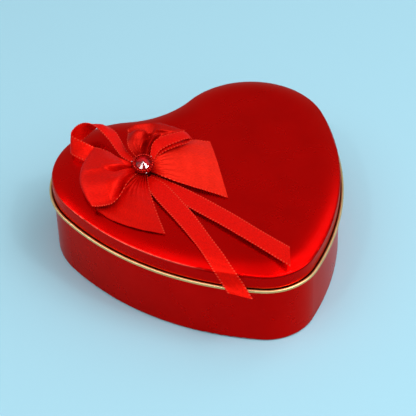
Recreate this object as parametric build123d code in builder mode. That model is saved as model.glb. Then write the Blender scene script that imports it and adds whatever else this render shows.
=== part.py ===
from build123d import *
import os
from math import asin, cos, degrees, sin, sqrt, radians

os.makedirs("parts", exist_ok=True)

# Heart-shaped gift tin with a slip lid, a satin bow and a set stone, in millimetres.
# The origin is on the surface the tin stands on, under its middle, with +Z up,
# +Y towards the notch of the heart and -Y towards its point.

# Heart outline, which is the outer face of the lid's skirt: tangent arcs on each side
LOBE_R = 44.2
LOBE_X = 38.0
LOBE_Y = 35.25
NOTCH_R = 49.8
SIDE_R = 156.7
POINT_R = 28.7
LOBE_TO_POINT = 86.0

# Tinplate and the heights of the tin
SHEET = 0.3
LID_TOP_Z = 51.0
LID_EDGE_Z = 47.0
SHOULDER_W = 14.0
SHOULDER_R = 32.0
CORNER_W = 1.0
BEAD_R = 0.9
BEAD_OUT = 1.05
BEAD_Z = 38.4
FOOT_R = 1.05
WALL_IN = 0.6
WALL_TOP_Z = 47.6
WALL_CURL_R = 1.0
WALL_FOOT_R = 1.0
WALL_FLANGE_W = 4.9
SEAM_W = 6.0
SEAM_Z = (3.0, 44.0)

# Bottom panel: its rim stands against the wall and its middle is pressed up
PANEL_IN = 1.0
PANEL_RIM_Z = 2.4
PANEL_CORNER_R = 0.9
PANEL_LAND_IN = 7.0
PANEL_STEP_W = 2.0
PANEL_RISE = 1.2

# Bow: satin ribbon, the knot that gathers it and the glue under the knot
RIBBON_T = 0.4
BOW_X = -34.2
BOW_Y = 26.0
KNOT_R = 4.6
GLUE_R = 6.5
GLUE_T = 0.4
WIDE_PLEATS = 4

# Set stone, tilted towards the front left
GEM_Z = 58.3
GEM_TILT = 17.0
GEM_HEADING = 243.3
CUP_R = 6.2
CUP_FOOT_R = 5.2
CUP_FLOOR = 0.8
CUP_H = 1.6
STONE_R = 3.9
STONE_GIRDLE = 0.9
STONE_H = 2.6
STONE_FACETS = 12
STONE_GAP = 0.1
BEAD_COUNT = 24
SMALL_BEAD_R = 0.62
BEAD_RING_R = 5.3
BEAD_SINK = 0.12
RIVET_COUNT = 3
RIVET_R = 0.5
RIVET_RING_R = 6.25
RIVET_H = 1.05
RIVET_FIRST = -100.0

# Stations of each ribbon, from the knot outwards: its right-hand edge, its left-hand edge,
# how far its middle stands out, and how deep its pleats are
WIDE_LEFT_TAIL = [
    ((-38.5, 24.5, 53.4), (-34.5, 21.5, 53.4), 0.3, 0.4),
    ((-47.0, 20.5, 54.0), (-37.5, 13.5, 53.8), 0.8, 0.9),
    ((-55.0, 17.5, 53.6), (-40.0, 4.5, 53.3), 1.2, 1.0),
    ((-63.0, 14.5, 52.6), (-43.5, -9.5, 52.4), 1.0, 0.7),
    ((-69.5, 11.5, 51.4), (-46.5, -24.0, 52.0), 0.6, 0.5),
]
WIDE_LEFT_LOOP = [
    ((-37.5, 30.0, 56.4), (-38.5, 24.5, 56.0), 0.3, 0.5),
    ((-43.0, 36.0, 58.6), (-48.0, 17.0, 57.6), 1.6, 1.2),
    ((-46.5, 42.0, 60.6), (-57.0, 10.5, 58.2), 3.5, 1.6),
    ((-50.0, 48.0, 60.8), (-66.0, 8.5, 56.5), 4.0, 1.0),
    ((-52.5, 51.5, 59.3), (-72.0, 13.5, 54.3), 7.0, 0.3),
    ((-50.5, 47.5, 57.3), (-67.0, 16.5, 53.6), 0.3, 0.2),
    ((-44.5, 38.5, 56.2), (-53.0, 22.0, 55.2), 0.3, 0.2),
    ((-38.0, 30.0, 55.0), (-38.8, 25.5, 55.0), 0.2, 0.2),
]
WIDE_RIGHT_TAIL = [
    ((-31.0, 23.5, 54.4), (-30.0, 27.5, 54.6), 0.3, 0.4),
    ((-27.0, 15.5, 54.4), (-22.0, 29.5, 57.4), 1.5, 0.8),
    ((-18.5, 4.0, 53.6), (-12.0, 30.5, 58.4), 2.5, 0.9),
    ((-11.0, -5.0, 53.0), (0.0, 32.0, 57.0), 2.5, 0.7),
    ((-3.3, -14.8, 52.2), (9.3, 29.5, 54.5), 1.5, 0.5),
]
WIDE_RIGHT_LOOP = [
    ((-30.0, 28.2, 56.8), (-33.8, 30.2, 57.6), 0.3, -0.4),
    ((-21.5, 37.0, 57.4), (-35.5, 38.5, 61.0), 2.0, -1.3),
    ((-12.0, 40.5, 58.6), (-34.5, 43.5, 62.8), 3.5, -1.6),
    ((-2.5, 41.5, 59.2), (-31.5, 49.0, 63.0), 4.0, -1.2),
    ((-0.5, 42.0, 57.6), (-30.5, 51.5, 61.2), 4.0, -0.4),
    ((-7.0, 41.0, 55.4), (-31.5, 46.5, 57.5), 0.3, 0.2),
    ((-18.0, 36.5, 55.2), (-33.0, 38.5, 56.4), 0.3, 0.2),
    ((-30.2, 28.4, 55.6), (-33.4, 30.2, 55.8), 0.2, 0.2),
]
NARROW_LEFT_LOOP = [
    ((-35.8, 30.2, 52.4), (-38.3, 27.6, 52.4), 0.1, 0.0),
    ((-44.0, 43.5, 52.8), (-49.5, 36.5, 52.4), 0.1, 0.0),
    ((-50.5, 53.5, 57.0), (-56.0, 47.0, 53.0), 0.1, 0.0),
    ((-55.5, 58.5, 60.2), (-60.5, 55.3, 52.8), 0.1, 0.0),
    ((-59.5, 65.5, 61.6), (-62.5, 61.5, 53.2), 0.1, 0.0),
    ((-55.0, 69.7, 62.5), (-58.3, 66.0, 53.4), 0.1, 0.0),
    ((-50.0, 70.0, 63.2), (-51.5, 67.0, 53.8), 0.1, 0.0),
    ((-46.5, 67.0, 63.6), (-44.5, 68.5, 55.8), 0.1, 0.0),
    ((-44.0, 60.5, 62.6), (-38.0, 68.0, 57.8), 0.1, 0.0),
    ((-42.5, 51.0, 60.6), (-35.0, 58.0, 57.6), 0.1, 0.0),
    ((-41.5, 43.5, 59.4), (-35.2, 50.0, 57.4), 0.1, 0.0),
    ((-39.2, 33.5, 58.2), (-36.4, 35.5, 57.8), 0.1, 0.0),
    ((-36.6, 29.3, 58.1), (-35.0, 30.0, 58.0), 0.1, 0.0),
]
NARROW_RIGHT_LOOP = [
    ((-30.0, 24.8, 56.8), (-29.9, 27.0, 57.0), 0.1, 0.0),
    ((-22.6, 29.8, 60.2), (-23.3, 36.2, 61.0), 0.1, 0.0),
    ((-18.8, 29.9, 61.8), (-19.5, 37.4, 62.6), 0.1, 0.0),
    ((-10.6, 29.4, 63.0), (-12.0, 36.8, 63.4), 0.1, 0.0),
    ((-4.5, 29.5, 62.6), (-5.0, 36.0, 63.0), 0.1, 0.0),
    ((-2.0, 29.6, 61.2), (-2.2, 35.6, 61.4), 0.1, 0.0),
    ((-4.5, 29.0, 60.0), (-4.5, 34.6, 60.1), 0.1, 0.0),
    ((-14.0, 28.0, 60.9), (-14.0, 33.6, 61.0), 0.1, 0.0),
    ((-22.5, 28.5, 59.0), (-22.5, 33.0, 59.1), 0.1, 0.0),
    ((-30.1, 25.0, 55.8), (-30.0, 27.0, 55.9), 0.1, 0.0),
]
NARROW_FRONT_TAIL = [
    ((-36.0, 21.7, 52.4), (-32.4, 21.7, 52.4), 0.1, 0.0),
    ((-38.2, 10.0, 52.3), (-28.0, 12.0, 52.3), 0.1, 0.0),
    ((-36.3, -17.3, 51.9), (-25.8, -14.4, 51.9), 0.1, 0.0),
    ((-35.9, -38.5, 51.9), (-26.6, -40.5, 51.9), 0.1, 0.0),
    ((-35.9, -47.5, 51.2), (-26.6, -53.0, 51.6), 0.1, 0.0),
    ((-35.9, -54.0, 49.9), (-26.7, -61.5, 50.3), 0.1, 0.0),
    ((-35.8, -58.6, 48.6), (-26.4, -66.6, 48.9), 0.1, 0.0),
    ((-34.9, -61.4, 45.9), (-25.5, -69.4, 46.2), 0.1, 0.0),
    ((-32.6, -68.5, 39.2), (-22.8, -77.9, 38.2), 0.1, 0.0),
]
NARROW_BACK_TAIL = [
    ((-33.0, 22.0, 51.9), (-30.8, 23.5, 51.9), 0.1, 0.0),
    ((-27.5, -3.0, 51.6), (-18.7, 1.5, 51.6), 0.1, 0.0),
    ((-16.5, -32.0, 51.6), (-7.4, -26.0, 51.6), 0.1, 0.0),
    ((-8.2, -55.3, 51.7), (-0.2, -47.1, 51.7), 0.1, 0.0),
    ((-0.3, -77.6, 51.2), (6.5, -65.0, 51.6), 0.1, 0.0),
]

# Centres of the arcs, and the directions in which neighbouring arcs touch
lobe_centre = Vector(LOBE_X, LOBE_Y)
point_centre = Vector(0, LOBE_Y - LOBE_TO_POINT)
notch_centre = Vector(0, LOBE_Y + sqrt((NOTCH_R + LOBE_R) ** 2 - LOBE_X**2))
to_point = point_centre - lobe_centre
reach = ((SIDE_R - LOBE_R) ** 2 - (SIDE_R - POINT_R) ** 2 + to_point.length**2) / (2 * to_point.length)
stand_off = sqrt((SIDE_R - LOBE_R) ** 2 - reach**2)
across_to_point = Vector(to_point.Y, -to_point.X).normalized()
side_centre = lobe_centre + to_point.normalized() * reach + across_to_point * stand_off
notch_way = (lobe_centre - notch_centre).normalized()
lobe_way = (lobe_centre - side_centre).normalized()
point_way = (point_centre - side_centre).normalized()
notch_y = notch_centre.Y - NOTCH_R

# Right half of the outline from notch to point: centre, radius, first and last direction, way round
HALF_ARCS = [
    (notch_centre, NOTCH_R, Vector(0, -1), notch_way, 1),
    (lobe_centre, LOBE_R, -notch_way, lobe_way, -1),
    (side_centre, SIDE_R, lobe_way, point_way, -1),
    (point_centre, POINT_R, point_way, Vector(0, -1), -1),
]


def heart(grow):
    """Closed heart outline on the ground, grown outwards all round by this much."""
    notch = Vector(0, notch_y + grow)
    into_lobe = lobe_centre - notch_way * (LOBE_R + grow)
    into_side = lobe_centre + lobe_way * (LOBE_R + grow)
    into_point = point_centre + point_way * (POINT_R + grow)
    point = Vector(0, point_centre.Y - POINT_R - grow)
    notch_middle = notch_centre + (Vector(0, -1) + notch_way).normalized() * (NOTCH_R - grow)
    lobe_middle = lobe_centre + (lobe_way - notch_way).normalized() * (LOBE_R + grow)
    side_middle = side_centre + (lobe_way + point_way).normalized() * (SIDE_R + grow)
    point_middle = point_centre + (Vector(0, -1) + point_way).normalized() * (POINT_R + grow)
    with BuildLine() as outline:
        ThreePointArc(notch, notch_middle, into_lobe)
        ThreePointArc(into_lobe, lobe_middle, into_side)
        ThreePointArc(into_side, side_middle, into_point)
        ThreePointArc(into_point, point_middle, point)
        mirror(about=Plane.YZ)
    return outline.wires()[0]


def ring(profile):
    """Carry a section, drawn outwards and upwards from the outline, round the whole heart."""
    for centre, radius, first, last, way in HALF_ARCS:
        outward = first * -way
        plane = Plane(origin=centre + first * radius, x_dir=outward, z_dir=outward.cross(Vector(0, 0, 1)))
        revolve(plane * profile, axis=Axis(centre, (0, 0, way)), revolution_arc=first.get_angle(last))
    mirror(about=Plane.YZ)


def strip(plane, width, crown, pleat, folds):
    """Thin section across a ribbon, of arcs that rise and fall by the pleat on a crowned line."""

    def rise(share):
        return crown * (1 - (2 * share - 1) ** 2)

    corners = [(width * (i / folds - 0.5), rise(i / folds)) for i in range(folds + 1)]
    crests = []
    for i in range(folds):
        share = (i + 0.5) / folds
        swing = pleat if i % 2 == 0 else -pleat
        crests.append((width * (share - 0.5), rise(share) + swing))
    with BuildSketch(plane) as section:
        with BuildLine():
            for i in range(folds):
                ThreePointArc(corners[i], crests[i], corners[i + 1])
            Line(corners[-1], (corners[-1][0], corners[-1][1] - RIBBON_T))
            for i in reversed(range(folds)):
                under = [(x, y - RIBBON_T) for x, y in (corners[i + 1], crests[i], corners[i])]
                ThreePointArc(*under)
            Line((corners[0][0], corners[0][1] - RIBBON_T), corners[0])
        make_face()
    return section.sketch


def ribbon(stations, folds):
    """Loft a ribbon from station to station, each section square to the way it runs there."""
    rights = [Vector(*station[0]) for station in stations]
    lefts = [Vector(*station[1]) for station in stations]
    middles = [(right + left) * 0.5 for right, left in zip(rights, lefts)]
    sections = []
    for i, station in enumerate(stations):
        across = lefts[i] - rights[i]
        ahead = middles[min(i + 1, len(middles) - 1)] - middles[min(i, len(middles) - 2)]
        behind = middles[max(i, 1)] - middles[max(i - 1, 0)]
        along = ahead.normalized() + behind.normalized()
        along = along - across * (along.dot(across) / across.dot(across))
        plane = Plane(origin=middles[i], x_dir=across, z_dir=along)
        sections.append(strip(plane, across.length, station[2], station[3], folds))
    for near, far in zip(sections, sections[1:]):
        loft([near, far], ruled=True)


# Tin wall: a strip bent to the heart, its foot turned in, its mouth curled in, lapped at the notch
with BuildSketch() as wall_profile:
    with BuildLine():
        flange = Line((-WALL_IN - WALL_FLANGE_W, 0), (-WALL_IN - WALL_FOOT_R, 0))
        bend = TangentArc(flange @ 1, (-WALL_IN, WALL_FOOT_R), tangent=flange % 1)
        side = Line(bend @ 1, (-WALL_IN, WALL_TOP_Z - WALL_CURL_R))
        TangentArc(side @ 1, side @ 1 - (2 * WALL_CURL_R, 0), tangent=side % 1)
        offset(amount=SHEET, side=Side.LEFT)
    make_face()
with BuildPart() as tin_wall:
    ring(wall_profile.sketch)
    with BuildSketch(Plane.XY.offset(SEAM_Z[0])):
        make_face(heart(-WALL_IN - SHEET / 2).edges())
        make_face(heart(-WALL_IN - 2 * SHEET).edges(), mode=Mode.SUBTRACT)
        with Locations((0, notch_y)):
            Rectangle(SEAM_W, SEAM_W, mode=Mode.INTERSECT)
    extrude(amount=SEAM_Z[1] - SEAM_Z[0])
tin_wall.part.label = "tin_wall"
export_step(tin_wall.part, "parts/tin_wall.step")

# Bottom panel: a shallow pan that sits on the wall's turned-in foot, its middle raised
with BuildSketch() as panel_profile:
    with BuildLine():
        rim = Line((-PANEL_IN, PANEL_RIM_Z), (-PANEL_IN, SHEET + PANEL_CORNER_R))
        corner = TangentArc(rim @ 1, (-PANEL_IN - PANEL_CORNER_R, SHEET), tangent=rim % 1)
        land = Line(corner @ 1, (-PANEL_LAND_IN, SHEET))
        step = Line(land @ 1, (-PANEL_LAND_IN - PANEL_STEP_W, SHEET + PANEL_RISE))
        Line(step @ 1, step @ 1 - (PANEL_STEP_W, 0))
        offset(amount=SHEET, side=Side.RIGHT)
    make_face()
with BuildPart() as bottom_panel:
    ring(panel_profile.sketch)
    with BuildSketch(Plane.XY.offset(SHEET + PANEL_RISE)):
        make_face(heart(-PANEL_LAND_IN - 2 * PANEL_STEP_W).edges())
    extrude(amount=SHEET)
bottom_panel.part.label = "bottom_panel"
export_step(bottom_panel.part, "parts/bottom_panel.step")

# Lid: a flat top, a crowned border, a crisp edge, and a skirt whose foot turns out under the bead
shoulder_turn = asin((SHOULDER_W - CORNER_W) / SHOULDER_R)
with BuildSketch() as lid_profile:
    with BuildLine():
        shoulder = CenterArc(
            center=(-SHOULDER_W, LID_TOP_Z - SHOULDER_R),
            radius=SHOULDER_R,
            start_angle=90,
            arc_size=-degrees(shoulder_turn),
        )
        edge = TangentArc(shoulder @ 1, (0, LID_EDGE_Z), tangent=shoulder % 1)
        skirt = Line(edge @ 1, (0, BEAD_Z - BEAD_R + FOOT_R))
        TangentArc(skirt @ 1, skirt @ 1 + (FOOT_R, -FOOT_R), tangent=skirt % 1)
        offset(amount=SHEET, side=Side.RIGHT)
    make_face()
with BuildPart() as lid_shell:
    ring(lid_profile.sketch)
    with BuildSketch(Plane.XY.offset(LID_TOP_Z - SHEET)):
        make_face(heart(-SHOULDER_W).edges())
    extrude(amount=SHEET)
lid_shell.part.label = "lid_shell"
export_step(lid_shell.part, "parts/lid_shell.step")

# Rim bead: the gold ring that runs round the foot of the lid's skirt
with BuildSketch() as bead_profile:
    with Locations((BEAD_OUT, BEAD_Z)):
        Circle(BEAD_R)
with BuildPart() as rim_bead:
    ring(bead_profile.sketch)
rim_bead.part.label = "rim_bead"
export_step(rim_bead.part, "parts/rim_bead.step")

# Glue under the bow
with BuildPart() as glue_pad:
    with BuildSketch(Plane.XY.offset(LID_TOP_Z)):
        with Locations((BOW_X, BOW_Y)):
            Circle(GLUE_R)
    extrude(amount=GLUE_T)
glue_pad.part.label = "glue_pad"
export_step(glue_pad.part, "parts/glue_pad.step")

# Knot: the ribbon ends gathered and bound with thread, its top sloped to seat the stone's cup
gem_lean = Vector(
    sin(radians(GEM_TILT)) * cos(radians(GEM_HEADING)),
    sin(radians(GEM_TILT)) * sin(radians(GEM_HEADING)),
    cos(radians(GEM_TILT)),
)
gem_plane = Plane(origin=(BOW_X, BOW_Y, GEM_Z), x_dir=(1, 0, 0), z_dir=gem_lean)
with BuildPart() as bow_knot:
    with BuildSketch(Plane.XY.offset(LID_TOP_Z + GLUE_T)):
        with Locations((BOW_X, BOW_Y)):
            Circle(KNOT_R)
    extrude(amount=GEM_Z - LID_TOP_Z + KNOT_R)
    split(bisect_by=gem_plane, keep=Keep.BOTTOM)
bow_knot.part.label = "bow_knot"
export_step(bow_knot.part, "parts/bow_knot.step")

# Ribbons: each is a thin formed sheet that leaves the knot
with BuildPart() as wide_left_tail:
    ribbon(WIDE_LEFT_TAIL, WIDE_PLEATS)
wide_left_tail.part.label = "wide_left_tail"
export_step(wide_left_tail.part, "parts/wide_left_tail.step")

with BuildPart() as wide_left_loop:
    ribbon(WIDE_LEFT_LOOP, WIDE_PLEATS)
wide_left_loop.part.label = "wide_left_loop"
export_step(wide_left_loop.part, "parts/wide_left_loop.step")

with BuildPart() as wide_right_tail:
    ribbon(WIDE_RIGHT_TAIL, WIDE_PLEATS)
wide_right_tail.part.label = "wide_right_tail"
export_step(wide_right_tail.part, "parts/wide_right_tail.step")

with BuildPart() as wide_right_loop:
    ribbon(WIDE_RIGHT_LOOP, WIDE_PLEATS)
wide_right_loop.part.label = "wide_right_loop"
export_step(wide_right_loop.part, "parts/wide_right_loop.step")

with BuildPart() as narrow_left_loop:
    ribbon(NARROW_LEFT_LOOP, 1)
narrow_left_loop.part.label = "narrow_left_loop"
export_step(narrow_left_loop.part, "parts/narrow_left_loop.step")

with BuildPart() as narrow_right_loop:
    ribbon(NARROW_RIGHT_LOOP, 1)
narrow_right_loop.part.label = "narrow_right_loop"
export_step(narrow_right_loop.part, "parts/narrow_right_loop.step")

with BuildPart() as narrow_front_tail:
    ribbon(NARROW_FRONT_TAIL, 1)
narrow_front_tail.part.label = "narrow_front_tail"
export_step(narrow_front_tail.part, "parts/narrow_front_tail.step")

with BuildPart() as narrow_back_tail:
    ribbon(NARROW_BACK_TAIL, 1)
narrow_back_tail.part.label = "narrow_back_tail"
export_step(narrow_back_tail.part, "parts/narrow_back_tail.step")

# Cup of the setting: a shallow dish with a pocket for the stone
with BuildPart() as gem_setting:
    with BuildSketch(gem_plane):
        Circle(CUP_FOOT_R)
    with BuildSketch(gem_plane.offset(CUP_FLOOR)):
        Circle(CUP_R)
    loft()
    with BuildSketch(gem_plane.offset(CUP_FLOOR)):
        Circle(CUP_R)
        Circle(STONE_R + STONE_GAP, mode=Mode.SUBTRACT)
    extrude(amount=CUP_H - CUP_FLOOR)
gem_setting.part.label = "gem_setting"
export_step(gem_setting.part, "parts/gem_setting.step")

# Small beads in a ring on the cup's rim
with BuildPart() as gem_beads:
    with Locations(gem_plane.offset(CUP_H + SMALL_BEAD_R - BEAD_SINK)):
        with PolarLocations(BEAD_RING_R, BEAD_COUNT):
            Sphere(SMALL_BEAD_R)
gem_beads.part.label = "gem_beads"
export_step(gem_beads.part, "parts/gem_beads.step")

# Silver rivets that pin the cup's edge
with BuildPart() as gem_rivets:
    with Locations(gem_plane.offset(RIVET_H)):
        with PolarLocations(RIVET_RING_R, RIVET_COUNT, start_angle=RIVET_FIRST):
            Sphere(RIVET_R)
gem_rivets.part.label = "gem_rivets"
export_step(gem_rivets.part, "parts/gem_rivets.step")

# Stone: a girdle of flats under facets that meet in one point
with BuildPart() as gem_stone:
    girdle_plane = gem_plane.offset(CUP_FLOOR)
    with BuildSketch(girdle_plane):
        RegularPolygon(STONE_R, STONE_FACETS)
    extrude(amount=STONE_GIRDLE)
    with BuildSketch(girdle_plane.offset(STONE_GIRDLE)) as crown_foot:
        RegularPolygon(STONE_R, STONE_FACETS)
    apex = Vertex(*girdle_plane.from_local_coords((0, 0, STONE_H)))
    loft([crown_foot.sketch, apex], ruled=True)
gem_stone.part.label = "gem_stone"
export_step(gem_stone.part, "parts/gem_stone.step")
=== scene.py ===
import math

import bpy
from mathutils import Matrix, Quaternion, Vector


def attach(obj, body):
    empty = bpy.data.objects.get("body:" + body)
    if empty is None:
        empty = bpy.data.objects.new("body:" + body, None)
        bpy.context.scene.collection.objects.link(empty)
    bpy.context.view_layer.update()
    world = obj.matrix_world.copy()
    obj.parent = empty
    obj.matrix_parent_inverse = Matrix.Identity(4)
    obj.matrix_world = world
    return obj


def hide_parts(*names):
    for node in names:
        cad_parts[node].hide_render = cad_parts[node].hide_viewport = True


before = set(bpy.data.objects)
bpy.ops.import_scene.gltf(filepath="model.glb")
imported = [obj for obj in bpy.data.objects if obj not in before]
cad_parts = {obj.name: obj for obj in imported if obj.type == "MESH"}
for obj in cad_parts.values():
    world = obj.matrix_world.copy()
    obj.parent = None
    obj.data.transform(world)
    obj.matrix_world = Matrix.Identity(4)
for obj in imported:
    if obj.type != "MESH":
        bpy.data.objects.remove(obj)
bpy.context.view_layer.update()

bpy.ops.object.select_all(action="DESELECT")

# Viewpoint: a long lens about a metre off, in front of the left flank of the tin,
# looking down on the lid. The picture is square.
bpy.ops.object.camera_add(location=(-0.3502, -0.6798, 0.7167))
camera = bpy.context.object
camera.name = "camera"
camera.data.lens = 159.25
camera.data.sensor_width = 36
camera.data.clip_start = 0.05
sight = Vector((-0.00472, 0.00699, 0.0280)) - camera.location
lean = Quaternion((0, 0, 1), math.radians(-1.992))
camera.rotation_euler = (sight.to_track_quat("-Z", "Y") @ lean).to_euler()
bpy.context.scene.camera = camera
bpy.context.scene.view_settings.view_transform = "Standard"

# Tin wall: a strip of tinplate bent to the heart, lapped at the notch, with its foot
# turned in and its mouth curled. Red gloss lacquer outside, gold lacquer inside.
RED_LACQUER = (0.76, 0.0008, 0.0005, 1)
GOLD_LACQUER = (0.68, 0.45, 0.165, 1)
TIN_MIDDLE = (0, 0, 0.024)


def finish_on(piece, material):
    piece.data.materials.clear()
    piece.data.materials.append(material)


def new_material(name):
    material = bpy.data.materials.new(name)
    material.use_nodes = True
    nodes, links = material.node_tree.nodes, material.node_tree.links
    return material, nodes, links, nodes["Principled BSDF"]


def lacquered_tin(name, middle, red):
    """Tinplate lacquered red on the side that faces away from the middle, gold on the other."""
    material, nodes, links, shader = new_material(name)
    shader.inputs["Metallic"].default_value = 1.0
    shader.inputs["Specular Tint"].default_value = (0.90, 0.64, 0.60, 1)
    shader.inputs["Coat Weight"].default_value = 0.02
    shader.inputs["Coat Roughness"].default_value = 0.06
    place = nodes.new("ShaderNodeTexCoord")

    facing = nodes.new("ShaderNodeNewGeometry")
    outward = nodes.new("ShaderNodeVectorMath")
    outward.operation = "SUBTRACT"
    outward.inputs[1].default_value = middle
    links.new(place.outputs["Object"], outward.inputs[0])
    side = nodes.new("ShaderNodeVectorMath")
    side.operation = "DOT_PRODUCT"
    links.new(facing.outputs["True Normal"], side.inputs[0])
    links.new(outward.outputs["Vector"], side.inputs[1])
    outside = nodes.new("ShaderNodeMath")
    outside.name = "outside"
    outside.operation = "GREATER_THAN"
    outside.inputs[1].default_value = 0
    links.new(side.outputs["Value"], outside.inputs[0])

    cloud = nodes.new("ShaderNodeTexNoise")
    cloud.inputs["Scale"].default_value = 45
    cloud.inputs["Detail"].default_value = 4
    links.new(place.outputs["Object"], cloud.inputs["Vector"])
    depth = nodes.new("ShaderNodeValToRGB")
    depth.color_ramp.elements[0].position = 0.3
    depth.color_ramp.elements[0].color = (red[0] * 0.93, red[1], red[2], 1)
    depth.color_ramp.elements[1].position = 0.7
    depth.color_ramp.elements[1].color = (red[0] * 1.05, red[1] * 1.4, red[2] * 1.4, 1)
    links.new(cloud.outputs["Fac"], depth.inputs["Fac"])
    coat = nodes.new("ShaderNodeMix")
    coat.data_type = "RGBA"
    coat.inputs["A"].default_value = GOLD_LACQUER
    links.new(outside.outputs["Value"], coat.inputs["Factor"])
    links.new(depth.outputs["Color"], coat.inputs["B"])
    links.new(coat.outputs["Result"], shader.inputs["Base Color"])

    handling = nodes.new("ShaderNodeTexNoise")
    handling.inputs["Scale"].default_value = 18
    handling.inputs["Detail"].default_value = 6
    handling.inputs["Roughness"].default_value = 0.65
    links.new(place.outputs["Object"], handling.inputs["Vector"])
    polish = nodes.new("ShaderNodeMapRange")
    polish.inputs["From Min"].default_value = 0.3
    polish.inputs["From Max"].default_value = 0.7
    polish.inputs["To Min"].default_value = 0.24
    polish.inputs["To Max"].default_value = 0.31
    links.new(handling.outputs["Fac"], polish.inputs["Value"])
    links.new(polish.outputs["Result"], shader.inputs["Roughness"])

    peel = nodes.new("ShaderNodeTexNoise")
    peel.inputs["Scale"].default_value = 1400
    peel.inputs["Detail"].default_value = 2
    links.new(place.outputs["Object"], peel.inputs["Vector"])
    ripple = nodes.new("ShaderNodeBump")
    ripple.inputs["Strength"].default_value = 0.06
    ripple.inputs["Distance"].default_value = 0.0001
    links.new(peel.outputs["Fac"], ripple.inputs["Height"])
    links.new(ripple.outputs["Normal"], shader.inputs["Normal"])
    return material


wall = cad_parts["tin_wall"]
finish_on(wall, lacquered_tin("wall_lacquer", TIN_MIDDLE, RED_LACQUER))

# Bottom panel: a pressed pan of the same tinplate, seamed to the wall's turned-in foot,
# with its middle raised off the table.
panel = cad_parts["bottom_panel"]
finish_on(panel, lacquered_tin("panel_lacquer", TIN_MIDDLE, RED_LACQUER))

# Lid: one pressing of lacquered tinplate with a flat top, a crowned border and a skirt
# that slips over the wall. Its foot is turned out under the bead. Lines painted in the lacquer
# give painted shade in the joint over the bead with a thin painted reflection of the bead
# above it, and along the edge of the border a painted dark line at the front and right and a
# painted pale highlight at the left front.
LID_MIDDLE = (0, 0, 0.020)
JOINT_PAINTED_SHADE = (0.02, 0.0004, 0.0004, 1)
JOINT_PAINTED_REFLECTION = (0.44, 0.12, 0.032, 1)
JOINT_SOFT = 0.00012
EDGE_PAINTED_SHADE = (0.16, 0.001, 0.001, 1)
EDGE_PAINTED_HIGHLIGHT = (0.80, 0.16, 0.11, 1)
EDGE_SOFT = 0.00015


def paint_line_round(material, low, high, soft, colour, most, side=None):
    """A line of painted light or shade round the outside between two heights, uneven along its run.

    Where side is given, the line fades in from the first of its two places along X to the second.
    """
    nodes, links = material.node_tree.nodes, material.node_tree.links
    shader = nodes["Principled BSDF"]
    under = shader.inputs["Base Color"].links[0].from_socket
    place = nodes.new("ShaderNodeTexCoord")
    apart = nodes.new("ShaderNodeSeparateXYZ")
    links.new(place.outputs["Object"], apart.inputs["Vector"])
    above = nodes.new("ShaderNodeMapRange")
    above.inputs["From Min"].default_value = low - soft
    above.inputs["From Max"].default_value = low + soft
    links.new(apart.outputs["Z"], above.inputs["Value"])
    below = nodes.new("ShaderNodeMapRange")
    below.inputs["From Min"].default_value = high + soft
    below.inputs["From Max"].default_value = high - soft
    links.new(apart.outputs["Z"], below.inputs["Value"])
    band = nodes.new("ShaderNodeMath")
    band.operation = "MULTIPLY"
    links.new(above.outputs["Result"], band.inputs[0])
    links.new(below.outputs["Result"], band.inputs[1])
    patchy = nodes.new("ShaderNodeTexNoise")
    patchy.inputs["Scale"].default_value = 90
    links.new(place.outputs["Object"], patchy.inputs["Vector"])
    share = nodes.new("ShaderNodeMapRange")
    share.inputs["From Min"].default_value = 0.3
    share.inputs["From Max"].default_value = 0.6
    share.inputs["To Min"].default_value = 0.7 * most
    share.inputs["To Max"].default_value = most
    links.new(patchy.outputs["Fac"], share.inputs["Value"])
    shown = nodes.new("ShaderNodeMath")
    shown.operation = "MULTIPLY"
    links.new(band.outputs["Value"], shown.inputs[0])
    links.new(nodes["outside"].outputs["Value"], shown.inputs[1])
    cover = nodes.new("ShaderNodeMath")
    cover.operation = "MULTIPLY"
    links.new(shown.outputs["Value"], cover.inputs[0])
    links.new(share.outputs["Result"], cover.inputs[1])
    line = nodes.new("ShaderNodeMix")
    line.data_type = "RGBA"
    line.inputs["B"].default_value = colour
    links.new(cover.outputs["Value"], line.inputs["Factor"])
    if side:
        part = nodes.new("ShaderNodeMapRange")
        part.inputs["From Min"].default_value = side[0]
        part.inputs["From Max"].default_value = side[1]
        links.new(apart.outputs["X"], part.inputs["Value"])
        kept = nodes.new("ShaderNodeMath")
        kept.operation = "MULTIPLY"
        links.new(cover.outputs["Value"], kept.inputs[0])
        links.new(part.outputs["Result"], kept.inputs[1])
        links.new(kept.outputs["Value"], line.inputs["Factor"])
    links.new(under, line.inputs["A"])
    links.new(line.outputs["Result"], shader.inputs["Base Color"])


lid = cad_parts["lid_shell"]
lid_lacquer = lacquered_tin("lid_lacquer", LID_MIDDLE, RED_LACQUER)
# Painted shade in the joint over the bead, and a thin painted reflection of the bead above it.
paint_line_round(lid_lacquer, 0.0374, 0.0398, JOINT_SOFT, JOINT_PAINTED_SHADE, 1.0)
paint_line_round(lid_lacquer, 0.0398, 0.0402, JOINT_SOFT, JOINT_PAINTED_REFLECTION, 0.45)
# A painted dark line on the edge of the border at the front and right, and a painted pale highlight on it
# at the left front.
paint_line_round(lid_lacquer, 0.0468, 0.0473, EDGE_SOFT, EDGE_PAINTED_SHADE, 0.7, side=(-0.044, -0.036))
paint_line_round(lid_lacquer, 0.0474, 0.0479, EDGE_SOFT, EDGE_PAINTED_HIGHLIGHT, 0.6, side=(-0.038, -0.047))
finish_on(lid, lid_lacquer)

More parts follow.
